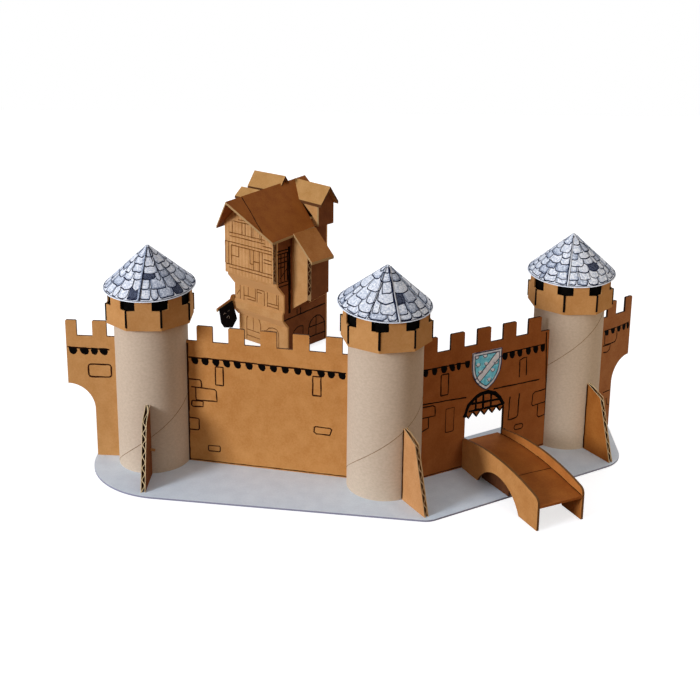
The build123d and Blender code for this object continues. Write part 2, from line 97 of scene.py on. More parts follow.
house_deep = heading(house_angle + 90)
upward = Vector((0, 0, 1))


def face_of(foot, angle, out):
    """Frame of an upright sheet's face: x along the sheet, y up, z out of the face."""
    axes = Matrix((heading(angle), upward, heading(angle - 90)))
    face = axes.transposed().to_4x4()
    face.translation = foot + heading(angle - 90) * out
    return face


long_face = face_of(left, long_angle, card / 2 - long_set_back)
gate_face = face_of(middle, gate_angle, card / 2 + gate_set_out)
left_wing_face = face_of(left, left_wing_angle + 180, card / 2)
right_wing_face = face_of(right, right_wing_angle, card / 2 + right_wing_set_out)
panel_face = face_of(house_corner, house_angle, panel_out)
floor_face = face_of(house_corner, house_angle, floor_out)
ground_face = face_of(house_corner, house_angle, 0)
side_face = face_of(house_corner + house_across * house_width, house_angle + 90, 0)


def turned_frame(origin, x_axis, y_axis):
    """Frame on a sloping sheet from its origin and two of its directions."""
    frame_axes = Matrix((x_axis, y_axis, x_axis.cross(y_axis))).transposed().to_4x4()
    frame_axes.translation = origin
    return frame_axes


# Right slope of the main roof: x climbs along the ridge, y runs up the slope
ridge_rise, roof_tilt = math.radians(ridge_climb), math.radians(roof_slope)
climb = house_deep * math.cos(ridge_rise) + upward * math.sin(ridge_rise)
slope_out = house_across.cross(-climb).normalized()
slope_up = -house_across * math.cos(roof_tilt) + slope_out * -math.sin(roof_tilt)


# Finishes


def linear(colour):
    """Linear value of an sRGB hex colour."""
    parts = [int(colour[k : k + 2], 16) / 255 for k in (1, 3, 5)]
    return [p / 12.92 if p <= 0.04045 else ((p + 0.055) / 1.055) ** 2.4 for p in parts] + [1.0]


def add(tree, kind, inputs, **settings):
    """Add one shader node: its settings, then its inputs, each a value or another node's output."""
    new = tree.nodes.new(kind)
    for name, value in settings.items():
        setattr(new, name, value)
    for key, value in inputs.items():
        if isinstance(value, bpy.types.NodeSocket):
            tree.links.new(value, new.inputs[key])
        else:
            new.inputs[key].default_value = value
    return new


def start(name, roughness, gloss=0.2):
    """New matte material: the material, its tree, its shader and the place of a point in metres."""
    material = bpy.data.materials.new(name)
    material.use_nodes = True
    tree = material.node_tree
    shader = tree.nodes["Principled BSDF"]
    shader.inputs["Roughness"].default_value = roughness
    shader.inputs["Specular IOR Level"].default_value = gloss
    return material, tree, shader, add(tree, "ShaderNodeTexCoord", {}).outputs["Object"]


def card_stock(name, light, dark, edge=None, face=None, limit=0.7, ribs=None):
    """Card or board: clouds, fine flecks, ribs, and a second colour on faces turned from the face
    axis, for cut edges, painted shade in flute hollows and painted light under overhangs.
    """
    material, tree, shader, place = start(name, 0.85)
    cloud_size, fleck_size, rib_pitch = 8 * mm, 1.1 * mm, 3.6 * mm
    soft = {"Vector": place, "Scale": 1 / cloud_size, "Detail": 2.0}
    clouds = add(tree, "ShaderNodeTexNoise", soft)
    fine = {"Vector": place, "Scale": 1 / fleck_size, "Detail": 3.0}
    flecks = add(tree, "ShaderNodeTexNoise", fine)
    mottle = {0: flecks.outputs[0], 1: 0.8, 2: clouds.outputs[0]}
    both = add(tree, "ShaderNodeMath", mottle, operation="MULTIPLY_ADD")
    if ribs:
        along = add(tree, "ShaderNodeVectorMath", {0: place, 1: ribs}, operation="DOT_PRODUCT")
        turns = {0: along.outputs["Value"], 1: 2 * math.pi / rib_pitch}
        turn = add(tree, "ShaderNodeMath", turns, operation="MULTIPLY")
        wave = add(tree, "ShaderNodeMath", {0: turn.outputs[0]}, operation="SINE")
        ribbed = {0: wave.outputs[0], 1: 0.16, 2: both.outputs[0]}
        both = add(tree, "ShaderNodeMath", ribbed, operation="MULTIPLY_ADD")
    tone = add(tree, "ShaderNodeMapRange", {0: both.outputs[0], 1: 0.65, 2: 1.15})
    two_tones = {0: tone.outputs[0], 6: linear(dark), 7: linear(light)}
    colour = add(tree, "ShaderNodeMix", two_tones, data_type="RGBA").outputs[2]
    if face:
        normal = add(tree, "ShaderNodeNewGeometry", {}).outputs["True Normal"]
        across = add(tree, "ShaderNodeVectorMath", {0: normal, 1: face}, operation="DOT_PRODUCT")
        facing = add(tree, "ShaderNodeMath", {0: across.outputs["Value"]}, operation="ABSOLUTE")
        cut = add(tree, "ShaderNodeMath", {0: facing.outputs[0], 1: limit}, operation="LESS_THAN")
        edged = {0: cut.outputs[0], 6: colour, 7: linear(edge)}
        colour = add(tree, "ShaderNodeMix", edged, data_type="RGBA").outputs[2]
    rough = {"Height": flecks.outputs[0], "Strength": 0.3, "Distance": 0.08 * mm}
    tree.links.new(colour, shader.inputs["Base Color"])
    tree.links.new(add(tree, "ShaderNodeBump", rough).outputs[0], shader.inputs["Normal"])
    return material


def fibre_paper(name, light, dark, grain, stretch=(1, 1, 1), gloss=0.2):
    """Paper, board or ink whose tone changes softly over a grain in mm."""
    material, tree, shader, place = start(name, 0.8, gloss)
    laid = add(tree, "ShaderNodeMapping", {"Vector": place, "Scale": stretch})
    pulp = {"Vector": laid.outputs[0], "Scale": 1 / (grain * mm), "Detail": 5.0}
    smudges = add(tree, "ShaderNodeTexNoise", pulp)
    tone = add(tree, "ShaderNodeMapRange", {0: smudges.outputs[0], 1: 0.35, 2: 0.65})
    two_tones = {0: tone.outputs[0], 6: linear(dark), 7: linear(light)}
    colour = add(tree, "ShaderNodeMix", two_tones, data_type="RGBA")
    tree.links.new(colour.outputs[2], shader.inputs["Base Color"])
    return material


# Marker drawings


def shaky(points, closed=False):
    """A line as a hand draws it: short steps, each a little off, under an uneven pen."""
    ends = list(points) + ([points[0]] if closed else [])
    drawn = []
    for (x0, y0), (x1, y1) in zip(ends, ends[1:]):
        steps = max(1, round(math.hypot(x1 - x0, y1 - y0) / pen_step))
        for step in range(steps):
            part = step / steps
            drawn.append((x0 + (x1 - x0) * part, y0 + (y1 - y0) * part))
    if not closed:
        drawn.append(ends[-1])

    def shake():
        return hand.uniform(-pen_shake, pen_shake)

    return [(x + shake(), y + shake(), hand.uniform(0.8, 1.2)) for x, y in drawn]


def rounded(x0, y0, x1, y1, corner):
    """Points of a box with rounded corners, for a brick or a window."""
    near = 0.3 * corner
    return [
        (x0 + corner, y0), (x1 - corner, y0), (x1 - near, y0 + near), (x1, y0 + corner),
        (x1, y1 - corner), (x1 - near, y1 - near), (x1 - corner, y1), (x0 + corner, y1),
        (x0 + near, y1 - near), (x0, y1 - corner), (x0, y0 + corner), (x0 + near, y0 + near),
    ]


def pen_curve(name, strokes):
    """Curve of marker strokes, each (points, width, closed)."""
    curve = bpy.data.curves.new(name, "CURVE")
    curve.dimensions = "3D"
    # A point's radius is then its line's full width
    curve.bevel_depth = 0.5
    curve.bevel_resolution = 0
    curve.use_fill_caps = True
    for points, width, closed in strokes:
        wobbly = shaky(points, closed)
        spline = curve.splines.new("POLY")
        spline.points.add(len(wobbly) - 1)
        spline.use_cyclic_u = closed
        for point, (x, y, press) in zip(spline.points, wobbly):
            point.co = (x, y, 0, 1)
            point.radius = pen_spread * width * press
    return curve


def fill_curve(name, shapes):
    """Flat curve of filled shapes."""
    curve = bpy.data.curves.new(name, "CURVE")
    curve.dimensions = "2D"
    curve.fill_mode = "BOTH"
    # Half the fill's thickness, before it is pressed flat
    curve.extrude = 0.45
    for points in shapes:
        spline = curve.splines.new("POLY")
        spline.points.add(len(points) - 1)
        spline.use_cyclic_u = True
        for point, (x, y) in zip(spline.points, points):
            point.co = (x, y, 0, 1)
    return curve


def show(name, data):
    """New object in the scene."""
    thing = bpy.data.objects.new(name, data)
    bpy.context.scene.collection.objects.link(thing)
    return thing


def curve_mesh(curve):
    """Mesh of a curve, made before its place is applied."""
    holder = show(curve.name, curve)
    bpy.context.view_layer.update()
    shaped = holder.evaluated_get(bpy.context.evaluated_depsgraph_get())
    mesh = bpy.data.meshes.new_from_object(shaped)
    bpy.data.objects.remove(holder)
    return mesh


def mesh_of(name, shape):
    """New mesh that holds a shape."""
    mesh = bpy.data.meshes.new(name)
    shape.to_mesh(mesh)
    return mesh


def piece(name, parts, material):
    """One object from several meshes that are already in place, on the castle's body."""
    whole = bmesh.new()
    for mesh in parts:
        whole.from_mesh(mesh)
    thing = show(name, mesh_of(name, whole))
    thing.data.materials.append(material)
    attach(thing, "root")
    return thing


def on_sheet(mesh, face, flatness=pen_flatness):
    """Press a drawing flat and lay it on its sheet."""
    mesh.transform(Matrix.Scale(mm, 4) @ face @ Matrix.Diagonal((1, 1, flatness, 1)))
    return mesh


def drawing(name, face, strokes, shapes, material):
    """Marker strokes and filled shapes on one sheet."""
    parts = []
    if strokes:
        parts.append(on_sheet(curve_mesh(pen_curve(name + "_pen", strokes)), face))
    if shapes:
        parts.append(on_sheet(curve_mesh(fill_curve(name + "_fill", shapes)), face))
    return piece(name, parts, material)


def drop(x, y, width, height):
    """Hanging round blob below a line, as the row under the merlons."""
    half = width / 2
    lean = hand.uniform(0, 0.9)
    outline = [
        (-1, 0.12), (-1.05, -0.4), (-0.75, -0.85), (-0.1, -1.05),
        (0.6, -0.95), (1.02, -0.5), (0.98, 0.08),
    ]
    return [(x + half * a - lean * b + hand.uniform(-0.2, 0.2), y + height * b) for a, b in outline]


def card_strip(name, size, axis, angle, place, finish):
    """Small rectangle of card, turned about one axis, in mm."""
    strip = bmesh.new()
    bmesh.ops.create_cube(strip, size=1)
    bmesh.ops.scale(strip, verts=strip.verts, vec=Vector(size) * mm)
    turn = Matrix.Rotation(math.radians(angle), 3, axis)
    bmesh.ops.rotate(strip, verts=strip.verts, matrix=turn)
    bmesh.ops.translate(strip, verts=strip.verts, vec=place * mm)
    piece(name, [mesh_of(name, strip)], finish)


# Felt marker: dense black without shine, for the blobs and the portcullis
black_marker = fibre_paper("black_marker", "#0B0908", "#040303", 3, gloss=0.02)
# Brown felt pen: dark lines that sink a little into the card
brown_pen = fibre_paper("brown_pen", "#3E1C08", "#2C1203", 3, gloss=0.05)
# Fine pen: thin mid-brown timber lines on the house
fine_pen = fibre_paper("fine_pen", "#85552A", "#693F1B", 3, gloss=0.05)
# The brown felt pen darkened with painted shade: nearly black lines for drawings on card that
# stands in shade
pen_in_painted_shade = fibre_paper("pen_in_painted_shade", "#1E0C03", "#120601", 3, gloss=0.02)

# Long wall: a line with hanging blobs under the merlons, two slit windows and a few bricks
long_blobs = [
    27.1, 33.5, 40.5, 47.2, 53.9, 61.3, 69.2, 76.7, 83.8, 91.7, 98.3, 105.7, 111.9, 118.6,
]
long_bricks = [
    [(21.8, 54.9), (30.1, 55.0), (31.0, 54.0), (31.3, 49.9)],
    [(24.5, 49.8), (39.4, 49.6), (40.5, 48.4), (40.8, 41.8), (27.4, 41.6), (27.3, 49.6)],
    [
        (31.9, 41.0), (31.8, 37.5), (25.2, 37.1), (24.4, 38.1), (24.6, 40.4), (25.4, 41.0),
        (31.9, 41.0),
    ],
    [(21.6, 29.7), (28.2, 29.5), (29.1, 28.6), (29.0, 22.6), (28.2, 21.8), (21.6, 21.9)],
]
right_brick = [
    (101.9, 31.6), (103.0, 32.2), (111.6, 31.9), (112.6, 30.9), (111.4, 27.5), (103.2, 27.6),
    (101.7, 28.8),
]
long_pen = [
    ([(23.2, 69.0), (50.2, 69.0), (74.6, 68.4), (121.2, 67.8)], 0.75, False),
    ([(22.0, 1.2), (22.1, 40.0), (22.2, 78.0)], 1.5, False),
    ([(22.0, 1.9), (70.0, 1.9), (122.0, 1.9)], 0.45, False),
    (rounded(40.2, 52.5, 45.1, 64.3, 0.4), 0.7, True),
    (rounded(100.9, 52.0, 105.9, 64.2, 0.4), 0.7, True),
    (rounded(34.6, 8.7, 42.3, 12.4, 0.8), 0.55, True),
    (right_brick, 0.65, True),
] + [(brick, 0.65, False) for brick in long_bricks]
drawing("long_wall_lines", long_face, long_pen, [], brown_pen)
# The row falls a little towards the middle tower
long_drops = [drop(x, 68.7 - 0.01 * (x - 27), 4.3, 3.8) for x in long_blobs]
drawing("long_wall_blobs", long_face, [], long_drops, black_marker)

# Gate wall: arch and bars of the portcullis, blobs, windows and bricks
gate_arch = [
    (53.0, 34.0), (55.8, 41.4), (60.2, 45.0), (64.7, 47.0),
    (70.0, 47.4), (75.6, 45.4), (79.7, 41.6), (82.8, 36.4),
]
gate_bars = [
    (gate_arch, 1.9, False),
    ([(58.0, 41.8), (68.0, 41.4), (79.4, 40.8)], 1.15, False),
    ([(56.0, 37.2), (68.0, 37.0), (82.0, 36.8)], 1.15, False),
    ([(61.4, 37.0), (61.4, 45.2)], 1.15, False),
    ([(66.9, 37.0), (66.9, 47.0)], 1.15, False),
    ([(72.8, 37.0), (72.8, 46.4)], 1.15, False),
]
tooth_pitch, tooth_half, tooth_root, tooth_tip = 6.0, 2.7, 36.2, 32.9
for k in (-2, -1, 0, 1, 2):
    tip = gate_centre + tooth_pitch * k
    tooth = [(tip - tooth_half, tooth_root), (tip, tooth_tip), (tip + tooth_half, tooth_root)]
    gate_bars.append((tooth, 0.8, False))
gate_lines = [
    ([(18.0, 70.4), (40.0, 70.0), (55.7, 69.4)], 0.6, False),
    ([(117.4, 1.2), (116.4, 40.0), (114.2, 78.6)], 0.7, False),
    (rounded(39.2, 27.2, 45.2, 42.4, 0.4), 0.4, True),
    ([(80.6, 70.4), (96.0, 70.6), (113.6, 70.8)], 0.6, False),
    ([(21.0, 1.9), (52.4, 1.9)], 0.45, False),
    ([(82.9, 2.0), (82.9, 36.0)], 0.6, False),
    ([(84.0, 1.9), (117.0, 1.9)], 0.45, False),
    ([(21.0, 48.8), (38.0, 48.0), (54.0, 46.9)], 0.7, False),
    ([(74.4, 48.4), (92.0, 48.0), (110.6, 47.6)], 0.7, False),
    (rounded(35.0, 51.8, 40.4, 65.0, 0.5), 0.65, True),
    ([(94.2, 52.2), (94.1, 63.6), (96.6, 64.6), (99.4, 64.6), (99.7, 52.4)], 0.65, False),
    (
        [(87.6, 40.6), (87.0, 25.2), (88.6, 24.9), (93.6, 25.6), (94.5, 27.0), (94.9, 41.4)],
        0.7, False,
    ),
    (rounded(92.2, 16.9, 99.0, 20.4, 1.4), 0.55, True),
    ([(81.8, 15.4), (81.9, 19.9), (84.6, 20.0), (84.7, 15.2)], 0.55, False),
    (
        [(117.4, 40.2), (107.6, 39.6), (106.0, 38.6), (105.4, 31.8), (106.2, 30.6), (117.2, 31.4)],
        0.6, False,
    ),
    ([(110.4, 31.0), (110.3, 23.2), (111.6, 21.8), (117.2, 22.6)], 0.6, False),
    ([(21.6, 47.0), (29.6, 46.8), (31.2, 45.6), (31.4, 39.8), (21.4, 40.0)], 0.6, False),
    ([(26.6, 39.8), (26.8, 33.0), (21.4, 31.2)], 0.6, False),
]
gate_blobs = [(23.5, 4.2), (30.1, 4.0), (36.8, 4.6), (42.4, 4.2), (47.4, 3.6), (53.8, 4.0)]
gate_blobs += [(82.1, 4.2), (87.6, 4.4), (93.6, 4.2), (100.3, 4.0), (106.0, 4.0), (111.8, 3.8)]
drawing("portcullis_bars", gate_face, gate_bars, [], black_marker)
drawing("gate_wall_lines", gate_face, gate_lines, [], pen_in_painted_shade)
gate_drops = [drop(x, 70.2, width - 0.3, 4.2) for x, width in gate_blobs]
drawing("gate_wall_blobs", gate_face, [], gate_drops, black_marker)

# Wings
left_wing_pen = [
    ([(-52.4, 72.2), (-44.5, 71.7), (-37.0, 71.4), (-26.2, 71.2)], 0.7, False),
    (rounded(-39.8, 53.2, -25.6, 61.4, 1.5), 0.8, True),
]
drawing("wing_left_lines", left_wing_face, left_wing_pen, [], brown_pen)
left_wing_blobs = [(-49.0, 4.4), (-42.1, 4.8), (-35.6, 3.6), (-29.9, 4.4)]
left_wing_drops = [drop(x, 71.6, width + 0.5, 4.0) for x, width in left_wing_blobs]
drawing("wing_left_blobs", left_wing_face, [], left_wing_drops, black_marker)
right_wing_pen = [
    ([(25.0, 70.4), (38.0, 70.4), (51.6, 71.2)], 0.5, False),
    ([(26.1, 68.0), (26.4, 60.9)], 0.6, False),
    ([(26.9, 60.4), (32.2, 60.3), (37.5, 60.6), (38.9, 62.6), (38.9, 67.5)], 0.6, False),
    ([(24.9, 60.0), (32.8, 59.8), (32.1, 56.4), (29.6, 54.9), (25.4, 55.5)], 0.6, False),
    ([(28.5, 26.4), (31.6, 26.5), (35.8, 26.6)], 0.5, False),
    ([(32.2, 21.7), (33.5, 17.0), (35.5, 16.3)], 0.5, False),
]
drawing("wing_right_lines", right_wing_face, right_wing_pen, [], pen_in_painted_shade)
right_wing_blobs = [(27.6, 4.2), (34.1, 4.2), (40.6, 3.8), (46.1, 3.4), (50.3, 2.6)]
right_wing_drops = [drop(x, 70.4, width, 3.6) for x, width in right_wing_blobs]
drawing("wing_right_blobs", right_wing_face, [], right_wing_drops, black_marker)

# House: timbers, windows and doors in fine pen


def timbers(levels, posts):
    """Strokes of level beams (height, from, to) and upright posts (place, from, to)."""
    width = 0.56
    beams = [([(near, height), (far, height)], width, False) for height, near, far in levels]
    return beams + [([(place, low), (place, high)], width, False) for place, low, high in posts]


panel_pen = timbers(
    [
        (94.6, 6.8, 46.0), (91.8, 6.8, 46.6), (89.6, 44.0, 53.6), (86.8, 1.8, 53.8),
        (84.4, 9.0, 54.2), (68.2, 2.2, 53.8), (65.6, 5.6, 54.0), (75.9, 9.2, 17.0),
        (72.9, 29.8, 33.8), (75.4, 33.8, 40.2), (79.2, 44.8, 53.4), (76.4, 44.8, 54.0),
        (106.4, 17.0, 29.0), (104.4, 11.0, 32.0),
    ],
    [
        (10.3, 94.8, 104.2), (21.2, 94.8, 104.4), (24.9, 94.6, 104.4), (31.5, 93.8, 104.2),
        (33.4, 93.6, 103.6), (41.0, 93.0, 99.4), (42.8, 93.0, 97.6), (1.6, 68.6, 86.6),
        (5.4, 68.6, 86.4), (8.8, 68.4, 84.4), (17.0, 76.0, 84.6), (29.8, 72.8, 84.4),
        (33.7, 68.2, 84.4), (40.2, 68.2, 84.4), (43.5, 68.2, 84.4),
    ],
)
drawing("house_panel_timbers", panel_face, panel_pen, [], fine_pen)
floor_pen = timbers(
    [
        (40.1, 10.6, 23.8), (37.8, 14.4, 23.8), (39.4, 37.0, 49.2), (36.9, 37.0, 49.2),
        (48.2, 25.6, 33.8), (45.9, 26.0, 31.0),
    ],
    [
        (6.2, 36.0, 48.2), (10.5, 36.0, 48.2), (15.5, 40.2, 48.2), (23.7, 37.6, 48.2),
        (25.6, 37.0, 48.2), (33.7, 36.0, 48.2), (37.2, 36.0, 48.2), (47.4, 39.6, 48.2),
        (49.2, 36.0, 48.2),
    ],
) + [([(2.3, 39.4), (5.6, 43.6)], 0.5, False)]
drawing("house_floor_timbers", floor_face, floor_pen, [], fine_pen)
arched_window = [
    (8.6, 1.2), (8.7, 18.9), (10.2, 21.3), (13.2, 23.4), (16.3, 24.5), (18.6, 24.4),
    (21.3, 22.6), (23.6, 19.6), (24.8, 15.8), (24.7, 1.2),
]
front_door = [
    (31.4, 1.2), (31.4, 13.8), (34.2, 16.2), (38.2, 17.3), (42.6, 16.9), (44.9, 14.4), (45.1, 1.2),
]
door_frame = [(28.8, 12.8), (33.1, 13.6), (38.4, 14.4), (41.7, 13.6), (42.8, 11.4), (42.8, 1.2)]
ground_pen = [
    (arched_window, 0.6, False),
    ([(16.4, 24.2), (16.3, 10.8)], 0.5, False),
    ([(8.8, 9.6), (24.6, 9.4)], 0.5, False),
    ([(8.7, 4.6), (24.6, 4.3)], 0.5, False),
    (front_door, 0.6, False),
    (door_frame, 0.6, False),
]
drawing("house_ground_windows", ground_face, ground_pen, [], fine_pen)
side_arch = [
    (24.4, 1.2), (24.6, 14.7), (26.9, 19.3), (29.9, 22.0), (34.7, 23.2), (38.4, 22.3),
    (42.1, 18.7), (44.2, 14.7), (44.8, 1.2),
]
side_pen = timbers(
    [
        (86.0, -11.4, 0.8), (83.6, -11.4, 0.8), (76.4, -11.0, 0.6), (60.2, -11.0, 3.6),
        (57.2, -9.8, 3.6), (6.7, 24.6, 44.8), (15.2, 24.6, 44.6),
    ],
    [
        (-7.3, 61.0, 83.0), (-3.3, 61.0, 83.0), (10.8, 29.8, 34.6), (14.9, 30.0, 34.8),
        (33.6, 6.8, 22.8), (17.9, 1.2, 18.6),
    ],
) + [
    ([(-8.5, 63.8), (-0.6, 70.4)], 0.5, False),
    ([(-11.0, 80.2), (0.6, 80.2)], 0.5, False),
    ([(-11.0, 72.6), (-3.4, 72.6)], 0.5, False),
    ([(-10.4, 61.0), (-10.4, 83.0)], 0.5, False),
    ([(0.0, 61.0), (0.0, 83.0)], 0.9, False),
    ([(2.2, 33.0), (2.2, 88.0)], 1.6, False),
    ([(-4.4, 28.2), (12.0, 29.2), (44.5, 31.0)], 0.7, False),
    ([(6.7, 1.2), (7.0, 16.6), (10.8, 18.8), (14.3, 19.3), (17.9, 18.6)], 0.6, False),
    (side_arch, 0.6, False),
]
# The side is in shade, so its pen is bolder
side_boldness = 1.3
side_pen = [(points, side_boldness * width, closed) for points, width, closed in side_pen]
drawing("house_side_timbers", side_face, side_pen, [], pen_in_painted_shade)

# Bridge: the deck's crease, a dark line of painted shade along the joint with its near rail, and a
# flap of card under the arch
bridge_start = gate_face @ Vector((gate_centre, 0, 0))
bridge_ahead = heading(bridge_angle)
bend_start = bridge_start + bridge_ahead * deck_bend + upward * 18.05
deck_face = turned_frame(bend_start, heading(bridge_angle - 90), bridge_ahead)
drawing("bridge_deck_crease", deck_face, [([(-14.0, 0), (14.0, 0)], 0.4, False)], [], pen_in_painted_shade)
deck_side = face_of(bridge_start, bridge_angle, -deck_width / 2 + 0.1)
deck_edge = [(0, 16.7), (12, 18.0), (25.5, 18.7), (38, 18.7), (deck_bend, 18.0), (79.5, 14.6)]
# A dark line along the deck's joint with the near rail: painted shade in the gap
drawing("bridge_joint_line", deck_side, [(deck_edge, 0.6, False)], [], pen_in_painted_shade)
flap_ahead, flap_aside, flap_height = 31, -10.5, 8.1
flap_place = bridge_start + bridge_ahead * flap_ahead + upward * flap_height
flap_place += heading(bridge_angle + 90) * flap_aside
# Kraft card darkened with painted shade for the deep shade under the arch: the flap reads as a dark
# shape there
flap_card_painted_shade = card_stock("bridge_flap_card", "#5A3216", "#47240E")
card_strip("bridge_flap", (26, 1.0, 13), "Z", bridge_angle + 4, flap_place, flap_card_painted_shade)

# Main roof: the fold where the right slope meets the cross wing
ridge_start = house_corner + house_across * house_width / 2 + upward * ridge_height
right_slope = turned_frame(ridge_start, climb, slope_up)
roof_fold = [([(-22.5, -0.8), (-24.4, -14.2), (-26.5, -24.7), (-28.1, -35.0)], 0.6, False)]
drawing("house_roof_fold", right_slope, roof_fold, [], pen_in_painted_shade)

# Cone roofs: pencilled slates as thin leaves over a dark ground, inside a pale rim with one line


def cone_place(foot, lean):
    """Frame of a cone roof: its rim's centre at the origin, its point up the z axis."""
    forward = Matrix.Rotation(math.radians(cone_tip), 4, "X")
    tip = forward @ Matrix.Rotation(math.radians(lean), 4, "Y")
    return Matrix.Translation(foot + Vector((0, 0, cone_foot))) @ tip


def wrap(mesh, place, rise):
    """Roll a drawing onto a cone: x is its angle in degrees, y its distance from the point."""
    bend_step = 3
    leaf = bmesh.new()
    leaf.from_mesh(mesh)
    turns = [vertex.co.x for vertex in leaf.verts]
    for angle in range(math.ceil(min(turns)), math.ceil(max(turns)), bend_step):
        whole = leaf.verts[:] + leaf.edges[:] + leaf.faces[:]
        bmesh.ops.bisect_plane(leaf, geom=whole, plane_co=(angle, 0, 0), plane_no=(1, 0, 0))
    slant = math.hypot(cone_radius, rise)
    for vertex in leaf.verts:
        angle, down, off = math.radians(vertex.co.x), vertex.co.y / slant, vertex.co.z
        radius = cone_radius * down + off * rise / slant
        height = rise * (1 - down) + off * cone_radius / slant
        around = Vector((radius * math.cos(angle), radius * math.sin(angle), height))
        vertex.co = place @ around * mm
    # Rolling the sheet turns its faces inwards
    bmesh.ops.reverse_faces(leaf, faces=leaf.faces[:])
    leaf.to_mesh(mesh)
    return mesh


def slate(begin, end, top, bottom, wobble):
    """Outline of a slate with rounded lower corners, from its angles and distances to the point."""
    wide, deep = end - begin, bottom - top
    outline = [
        (0, 0), (0.02, 0.7), (0.07, 0.9), (0.2, 1), (0.5, 1.02), (0.8, 1), (0.93, 0.9), (0.98, 0.7),
        (1, 0),
    ]
    places = zip(outline, wobble)
    return [(begin + wide * (a + x), top + deep * (b + y)) for (a, b), (x, y) in places]


slate_tones = [
    # Paper hardly touched by the pencil: the brightest slates
    fibre_paper("slate_white", "#F8FAFD", "#BAC4D4", 1.0),
    # A light rub of the pencil: pale blue-grey slates
    fibre_paper("slate_pale", "#E2E8F2", "#98A4B8", 0.9),
    # A heavier rub: mid grey slates and soft creases
    fibre_paper("slate_grey", "#B9C3D3", "#66728A", 0.8),
    # Pencil pressed hard: the few slates that stand out dark
    fibre_paper("slate_dark", "#5A6278", "#161A28", 0.7, gloss=0.1),
]
# Dark pencil: the line round every slate and along the rim
slate_ink = fibre_paper("slate_ink", "#1E2640", "#10142A", 2, gloss=0.05)
# Plain drawing paper: the smooth pale cone, its rim and its inside
roof_paper = fibre_paper("roof_paper", "#EDF1F7", "#D6DDE8", 4)


def leaves(name, outlines, place, rise, lift):
    """Thin paper shapes laid on a cone at a height in mm."""
    leaf_flatness = 0.02
    flat = curve_mesh(fill_curve(name, outlines))
    pressed = Matrix.Diagonal((1, 1, leaf_flatness, 1))
    flat.transform(Matrix.Translation((0, 0, lift)) @ pressed)
    return wrap(flat, place, rise)


def crease_frame(place, rise, angle):
    """Frame of a straight line down a cone from its point: x across it, y down the slope."""
    slope = math.atan2(rise, cone_radius)
    down = Vector((math.cos(slope), 0, -math.sin(slope)))
    frame_axes = turned_frame(Vector((0, 0, rise)), Vector((0, -1, 0)), down)
    return place @ Matrix.Rotation(math.radians(angle), 4, "Z") @ frame_axes


def slated_roof(side, foot, lean, rise, rows, width, joint, spots, creases):
    """Slates, rim line and creases of one cone roof; each row laps over the next one down."""
    place = cone_place(foot, lean)
    slant = math.hypot(cone_radius, rise)
    first_lift, row_lift, tone_lift, light_lift = 0.06, 0.05, 0.02, 0.034
    tuck, bare_tip, rim_points, rim_inset, rim_pen = 1.3, 1.0, 72, 0.9, 0.4
    inked, toned = [], [[] for _ in slate_tones]
    for row, (top, bottom) in enumerate(zip(rows, rows[1:])):
        lift = first_lift + row_lift * (len(rows) - 2 - row)
        radius = cone_radius * (top + bottom) / 2 / slant
        count = max(6, round(2 * math.pi * radius / width))
        shifts = [k + (hand.uniform(-0.31, 0.31) if k else 0) for k in range(count)]
        cuts = [joint + 360 * shift / count for shift in shifts]
        outlines, tones, lights = [], [[] for _ in slate_tones], [[] for _ in slate_tones]
        for begin, end in zip(cuts, cuts[1:] + [joint + 360]):
            wobble = [(hand.uniform(-0.05, 0.05), hand.uniform(-0.07, 0.07)) for _ in range(9)]
            tone = hand.choices(range(3), weights=(48, 38, 14))[0]
            for angle, distance, spot_tone in spots:
                if (angle - begin) % 360 < end - begin and top <= distance < bottom:
                    tone = spot_tone
            low = bottom + hand.uniform(-0.6, 0.8) * (row < len(rows) - 2)
            high = max(top - tuck, bare_tip)
            gap = math.degrees(hand.uniform(0.26, 0.42) / radius)
            outlines.append(slate(begin, end, high, low + hand.uniform(0.5, 0.85), wobble))
            begin, end = begin + gap, end - gap
            tones[tone].append(slate(begin, end, high, low, wobble))
            margins = [math.degrees(hand.uniform(0.3, 1.3) / radius) for _ in range(2)]
            if tone in (1, 2):
                begin, end = begin + margins[0], end - margins[1]
                rubbed = slate(begin, end, high, low - hand.uniform(0.3, 1.1), wobble)
                lights[tone - 1].append(rubbed)
        inked.append(leaves("ink", outlines, place, rise, lift))
        for level, groups in ((lift + tone_lift, tones), (lift + light_lift, lights)):
            for tone, shapes in enumerate(groups):
                if shapes:
                    toned[tone].append(leaves("slates", shapes, place, rise, level))
    piece(f"slate_lines_{side}", inked, slate_ink)
    for tone, meshes in enumerate(toned):
        if meshes:
            piece(f"slates_{side}_{tone}", meshes, slate_tones[tone])
    line = pen_curve(f"rim_line_{side}", [])
    circle = line.splines.new("POLY")
    circle.points.add(rim_points - 1)
    circle.use_cyclic_u = True
    reach, height = cone_radius * (1 - rim_inset / slant), rise * rim_inset / slant
    for k, point in enumerate(circle.points):
        angle = 2 * math.pi * k / rim_points
        point.co = (reach * math.cos(angle), reach * math.sin(angle), height, 1)
        point.radius = rim_pen * hand.uniform(0.7, 1.3)
    rim = curve_mesh(line)
    rim.transform(Matrix.Scale(mm, 4) @ place)
    piece(f"rim_line_{side}", [rim], slate_ink)
    for number, (angle, width, finish, low, high) in enumerate(creases):
        name = f"crease_{side}_{number}"
        stroke = curve_mesh(pen_curve(name, [([(0, low), (0, high)], width, False)]))
        # Pressed to a fifth of its height, each crease stands just over the slates and the last one
        stroke.transform(Matrix.Translation((0, 0, 2.2 + 0.4 * number)))
        pressed = on_sheet(stroke, crease_frame(place, rise, angle), 0.2)
        piece(name, [pressed], finish)
